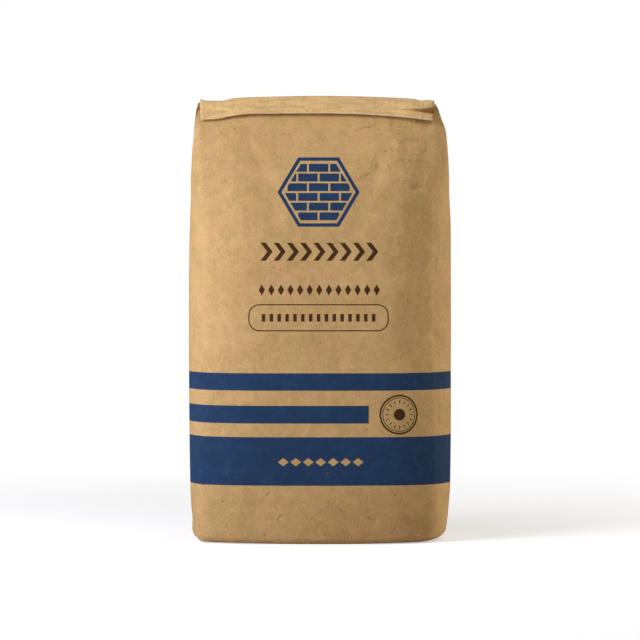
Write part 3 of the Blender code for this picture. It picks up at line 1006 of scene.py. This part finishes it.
def badge(u, v):
    """A hexagon of bricks in a plain frame, by its distance."""
    du, dv = u - BADGE_MIDDLE[0], v - BADGE_MIDDLE[1]
    across = abs(du)
    hexagon = (across * math.sqrt(0.75) + abs(dv) * 0.5).most(abs(dv))
    frame_line = (hexagon - BADGE_REACH).most(BADGE_REACH - BADGE_FRAME - hexagon)
    odd = (math.floor(dv / COURSE_HEIGHT) + COURSES_BELOW) % 2.0
    brick_u = (du + odd * (BRICK_LENGTH / 2)).repeated(BRICK_LENGTH)
    brick_v = (dv - COURSE_HEIGHT / 2).repeated(COURSE_HEIGHT)
    brick = (abs(brick_u) - (BRICK_LENGTH - MORTAR) / 2).most(abs(brick_v) - (COURSE_HEIGHT - MORTAR) / 2)
    return frame_line.least(brick.most(hexagon - BADGE_REACH + BADGE_FRAME + BADGE_MARGIN))


def chevrons(u, v):
    """A strip of chevrons, by its distance."""
    du, dv = u - CHEVRON_MIDDLE[0], v - CHEVRON_MIDDLE[1]
    leaning = abs(dv) * CHEVRON_LEAN + du
    strip = (abs(leaning) - CHEVRON_STEP * CHEVRONS / 2).most(abs(dv) - CHEVRON_HEIGHT / 2)
    return strip.most(abs(leaning.repeated(CHEVRON_STEP)) - CHEVRON_THICKNESS / 2)


def lozenges(u, v, middle, count, step, half_width, half_height):
    """A row of lozenges, by its distance."""
    du, dv = u - middle[0], v - middle[1]
    shape = abs(du.repeated(step)) / half_width + abs(dv) / half_height - 1.0
    distance = shape * (half_width * half_height / math.hypot(half_width, half_height))
    return distance.most(abs(du) - step * count / 2)


def plate(u, v):
    """An outlined plate with round ends and a row of short bars in it, by its distance."""
    du, dv = abs(u - PLATE_MIDDLE[0]), abs(v - PLATE_MIDDLE[1])
    corner_u = (du - (PLATE_REACH - PLATE_ROUNDING)).most(0.0)
    corner_v = (dv - (PLATE_HEIGHT / 2 - PLATE_ROUNDING)).most(0.0)
    outline = abs((corner_u * corner_u + corner_v * corner_v) ** 0.5 - PLATE_ROUNDING) - PLATE_LINE / 2
    bar = (abs((u - PLATE_MIDDLE[0]).repeated(PLATE_STEP)) - PLATE_BAR / 2).most(dv - PLATE_BAR_HEIGHT / 2)
    return outline.least(bar.most(du - PLATE_STEP * PLATE_BARS / 2))


def stamp(u, v):
    """Two rings with short ticks inside them and a disc at the middle, by its distance."""
    du, dv = u - STAMP_MIDDLE[0], v - STAMP_MIDDLE[1]
    out = (du * du + dv * dv) ** 0.5
    tick = abs(dv.turn_from(du).repeated(math.tau / STAMP_TICKS)) * out - STAMP_TICK_WIDTH / 2
    tick = tick.most(abs(out - STAMP_TICK_RADIUS) - STAMP_TICK_LENGTH / 2)
    ring = abs(out - STAMP_RADIUS) - STAMP_LINE / 2
    inner_ring = abs(out - STAMP_INNER_RADIUS) - STAMP_INNER_LINE / 2
    return ring.least(inner_ring).least(tick).least(out - STAMP_DISC)


def printed_ink(u, v):
    """The navy print and the brown print, by their distances."""
    band_2 = (v - BAND_2[1]).most(BAND_2[0] - v).most((u - BAND_2_END).least(BAND_2_START - u))
    marks = lozenges(u, v, BAND_MARKS_MIDDLE, BAND_MARKS, BAND_MARKS_STEP, *BAND_MARK_HALVES)
    band_3 = (v - BAND_3[1]).most(BAND_3[0] - v).most(0.0 - marks)
    navy = (v - BAND_1[1]).most(BAND_1[0] - v).least(band_2).least(band_3).least(badge(u, v))
    row = lozenges(u, v, ROW_MIDDLE, ROW_LOZENGES, ROW_STEP, *ROW_HALVES)
    brown = chevrons(u, v).least(row).least(plate(u, v)).least(stamp(u, v))
    return navy, brown


def printed_kraft():
    """Unbleached kraft paper with navy bands and dark brown print."""
    material = bpy.data.materials.new("kraft_paper")
    finish = Finish(material, "Principled BSDF", {"IOR": 1.45, "Specular IOR Level": 0.30})
    place = finish.place()
    u, v, _ = finish.parts(finish.node("ShaderNodeUVMap", {"uv_map": "paper"}))
    x, y, z = finish.parts(place)
    rough_edge = (finish.noise(place, scale=900.0, detail=1.0) - 0.5) * PRINT_ROUGHNESS

    # The bare paper: cloudy, with fibres along the sack, grains, and a few specks
    cloud = finish.noise(place, scale=9.0, detail=4.0, roughness=0.6, distortion=0.6)
    mottle = finish.noise(place, scale=55.0, detail=4.0, roughness=0.7, distortion=0.8)
    grain = finish.noise(place, scale=430.0, detail=3.0, roughness=0.75)
    along_sack = finish.vector("MULTIPLY", place, FIBRE_STRETCH)
    fibre = finish.noise(along_sack, scale=620.0, detail=2.0, roughness=0.6, distortion=0.8)
    tone = (cloud - 0.5) * CLOUD_TONE + (mottle - 0.5) * MOTTLE_TONE + (grain - 0.5) * GRAIN_TONE
    tone = (tone + (fibre - 0.5) * FIBRE_TONE + 0.5).eased(0.0, 1.0)
    warmth = finish.noise(place, scale=24.0, detail=4.0, roughness=0.65, distortion=1.5).eased(*WARMTH_TONES)
    paper = finish.mixed(warmth, KRAFT_OLIVE, KRAFT_PINK)
    paper = finish.mixed(tone, finish.tinted(paper, KRAFT_DARKER), finish.tinted(paper, KRAFT_LIGHTER))
    small_specks = finish.specks(place, scale=150.0, radius=0.13) * SMALL_SPECK_TONE
    dark_specks = finish.specks(place, scale=46.0, radius=0.075).most(small_specks)
    paper = finish.mixed(dark_specks * SPECK_TONE, paper, SPECK_BROWN)
    paper = finish.mixed(finish.specks(place, scale=61.0, radius=0.085) * PALE_SPECK_TONE, paper, SPECK_PALE)

    # The flap is painted paler, as light falling on it, with streaks across it, and the foot is painted
    # darker as shade
    on_flap = v.eased(*FLAP_STARTS)
    along_flap = finish.vector("MULTIPLY", place, STREAK_STRETCH)
    streaks = finish.noise(along_flap, scale=190.0, detail=3.0, roughness=0.6, distortion=0.5)
    # Painted light: the flap is tinted paler and whiter, more or less along the streaks
    pale = on_flap * (FLAP_LIGHT_SHARE + (streaks - 0.5) * STREAK_SPREAD)
    paper = finish.mixed(pale, paper, finish.tinted(paper, FLAP_PAINTED_LIGHT))
    # Painted shade: the foot is tinted darker and browner towards its lower right
    foot_shade = v.eased(*FOOT_SHADE_HEIGHTS) * u.eased(*FOOT_SHADE_FROM) * u.eased(*FOOT_SHADE_TO)
    foot_shade = foot_shade * (FOOT_SHADE_SHARE + (cloud - 0.5) * FOOT_SHADE_SPREAD)
    paper = finish.mixed(foot_shade, paper, finish.tinted(paper, FOOT_SHADE_TINT))

    # The ink, a little worn through at the paper's grain
    navy, brown = [(ink + rough_edge).eased(PRINT_EDGE, -PRINT_EDGE) for ink in printed_ink(u, v)]
    cover = 1.0 - (grain * 0.6 + mottle * 0.4).eased(*INK_WORN) * INK_WEAR
    coloured = finish.mixed(navy * cover, paper, finish.mixed(mottle.eased(*INK_TONES), NAVY_DEEP, NAVY))
    coloured = finish.mixed(brown * cover, coloured, PRINT_BROWN)
    ink = navy.most(brown) * cover

    # Painted shade: the pocket is tinted a darker brown. Painted highlight: the inner ply's cut edge is
    # painted pale
    beyond = x - POCKET_TIP[0]
    upper = (POCKET_TIP[1] + beyond * POCKET_RISE[0] - z).eased(0.0, POCKET_SOFTNESS[0])
    lower = (z - POCKET_TIP[1] - beyond * POCKET_RISE[1]).eased(0.0, POCKET_SOFTNESS[1])
    pocket_shade = upper * lower * beyond.eased(0.0, POCKET_STARTS) * on_flap
    coloured = finish.mixed(pocket_shade, coloured, finish.tinted(coloured, POCKET_SHADE_TINT))
    # Painted highlight: a pale line along the inner ply's cut edge
    above, below = [distance.eased(0.0, PLY_EDGE_SOFTNESS) for distance in (v - PLY_EDGE[0], PLY_EDGE[1] - v)]
    coloured = finish.mixed(above * below * PLY_EDGE_HIGHLIGHT, coloured, PAINTED_HIGHLIGHT)

    # Fine creases from handling, which wander a little and come and go. Their relief is in the bump, and
    # their colour is a painted highlight on ridges and painted shade in grooves
    wander = (finish.noise(place, scale=65.0, detail=3.0) - 0.5) * CREASE_WANDER
    breaks = finish.noise(place, scale=210.0, detail=2.0, roughness=0.6).eased(*CREASE_BREAKS)
    crease_u, crease_v = u + rough_edge, v + wander
    crease = 0.0
    for start, end, half_width, strength in FINE_CREASES:
        along, across = slanted(crease_u, crease_v, start, end)
        past_end = (abs(along) - math.dist(start, end) / 2) / half_width + 1.0
        crease = crease + (abs(across) / half_width).most(past_end).eased(1.0, 0.0) * strength
    crease = crease * (CREASE_FAINTEST + breaks * (1.0 - CREASE_FAINTEST))

    # Crumpled paper, most of all at the front's upper right, with scratches in it
    swirl = finish.noise(place, scale=30.0, output="Color")
    swirled = finish.vector("MULTIPLY_ADD", swirl, (SWIRL, SWIRL, SWIRL), place)
    upper_right = x.eased(*CRUMPLED_FROM) * z.eased(*CRUMPLED_ABOVE) * y.eased(*CRUMPLED_IN_FRONT)
    patches = finish.noise(place, scale=5.0).eased(*CRUMPLED_PATCHES)
    crumpled = (patches * CRUMPLED_ELSEWHERE).most(upper_right)
    crumple = finish.cells(swirled, scale=34.0, distance="MANHATTAN")
    crumple = crumple * (CRUMPLE_LEAST + crumpled * (1.0 - CRUMPLE_LEAST))
    scratches = finish.cells(swirled, scale=21.0, feature="DISTANCE_TO_EDGE").eased(SCRATCH_WIDTH, 0.0)
    scratches = scratches * (mottle.eased(*SCRATCHED) * crumpled)

    # The tube's glued seam on the back, and the folds of the base
    from_seam = u - SEAM_PLACE
    seam = from_seam.eased(0.0, SEAM_STEP) * (SEAM_WIDTH - from_seam).eased(0.0, SEAM_WIDTH / 2)
    seam_line = abs(from_seam + rough_edge).eased(SEAM_LINE, 0.0) * v.eased(HEIGHT, HEIGHT - SEAM_FADES)
    lap = abs(abs(y) - BASE_LAP)
    tuck = abs(abs(x) - abs(y) * BASE_TUCK_SLOPE - BASE_TUCK)
    base_fold = lap.least(tuck).eased(BASE_FOLD_LINE, 0.0) * z.eased(*UNDERSIDE_HEIGHTS)

    coloured = finish.mixed(seam_line.most(base_fold) * SEAM_TONE, coloured, DARK_LINES_AND_CREASE_SHADE)
    # Painted highlight along the creases' ridges and painted shade in their grooves
    coloured = finish.mixed(crease.eased(0.0, 1.0) * CREASE_HIGHLIGHT_TONE, coloured, PAINTED_HIGHLIGHT)
    coloured = finish.mixed((0.0 - crease).eased(0.0, 1.0) * CREASE_SHADE_TONE, coloured, DARK_LINES_AND_CREASE_SHADE)
    coloured = finish.mixed(scratches * SCRATCH_TONE, coloured, DARK_LINES_AND_CREASE_SHADE)
    finish.to_shader("Base Color", coloured)
    finish.to_shader("Roughness", PAPER_ROUGHNESS + (grain - 0.5) * GRAIN_ROUGHNESS + ink * INK_DULLNESS)
    height = grain * GRAIN_HEIGHT + fibre * FIBRE_HEIGHT + mottle * MOTTLE_HEIGHT + ink * INK_HEIGHT
    height = height + streaks * on_flap * STREAK_HEIGHT + crumple * CRUMPLE_HEIGHT + crease * CREASE_HEIGHT
    height = height + (seam - base_fold) * SEAM_RELIEF
    bump = finish.node("ShaderNodeBump", None, {"Height": height, "Distance": 1.0, "Strength": 1.0}, "Normal")
    finish.to_shader("Normal", bump)
    return material


def pale_floor():
    """Plain pale paint that fades out into the white around it."""
    material = bpy.data.materials.new("pale_floor")
    finish = Finish(material, "Principled BSDF", {
        "Base Color": FLOOR_PAINT,
        "Roughness": 0.9,
        "Specular IOR Level": 0.0,
        "Emission Color": WHITE,
        "Emission Strength": FLOOR_GLOW,
    })
    finish.to_shader("Alpha", finish.vector("LENGTH", finish.place(), output="Value").eased(*FLOOR_FADE))
    for_light = finish.node("ShaderNodeBsdfDiffuse", None, {"Color": FLOOR_FOR_LIGHT})
    seen = finish.node("ShaderNodeLightPath", output="Is Camera Ray")
    painted = Level(finish, finish.shader.outputs["BSDF"])
    both = finish.node("ShaderNodeMixShader", None, {0: seen, 1: for_light, 2: painted})
    finish.feed(finish.nodes["Material Output"].inputs["Surface"], both)
    return material


def facing(place, target):
    """The turn that points a light or a camera from its place to its target."""
    return (Vector(target) - Vector(place)).to_track_quat("-Z", "Y").to_euler()


def softbox(name, place, width, power, colour):
    lamp = bpy.data.lights.new(name, "AREA")
    lamp.shape = "DISK"
    lamp.size = width
    lamp.energy = power
    lamp.color = colour
    holder = new_object(name, lamp)
    holder.location = place
    holder.rotation_euler = facing(place, MIDDLE)


# The sack
columns = column_positions()
body, body_heights = body_grid(columns)
body = settled_body(body, body_heights, columns)
body = creased_body(body, body_heights, columns)
lift_foot(body)
flap, flap_places = flap_grid(body[-1])
sack_mesh = grid_mesh("kraft_sack", np.concatenate([body, flap]))
lay_out_paper(sack_mesh, columns, np.concatenate([body_heights, flap_places]))
sack = new_object("kraft_sack", sack_mesh, printed_kraft())
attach(sack, "root")
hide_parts("paper_sack")

# The floor
bpy.ops.mesh.primitive_plane_add(size=FLOOR_SIZE, location=(0.0, 0.0, -FLOOR_SINK))
floor = bpy.context.object
floor.name = "studio_floor"
floor.data.materials.append(pale_floor())

# The lights
for light in SOFTBOXES:
    softbox(*light)
world = bpy.data.worlds.new("studio")
bpy.context.scene.world = world
studio = Finish(world, "Background", {"Color": WHITE})
up = studio.parts(studio.place("Generated"))[2]
seen = studio.node("ShaderNodeLightPath", output="Is Camera Ray")
studio.to_shader("Strength", (up.eased(*SKY_HEIGHTS) * AMBIENT).most(seen))
bpy.context.scene.view_settings.view_transform = "Standard"

# The camera
camera_data = bpy.data.cameras.new("camera")
camera_data.lens = CAMERA_LENS
camera = new_object("camera", camera_data)
camera.location = CAMERA_PLACE
camera.rotation_euler = facing(CAMERA_PLACE, CAMERA_AIM)
bpy.context.scene.camera = camera
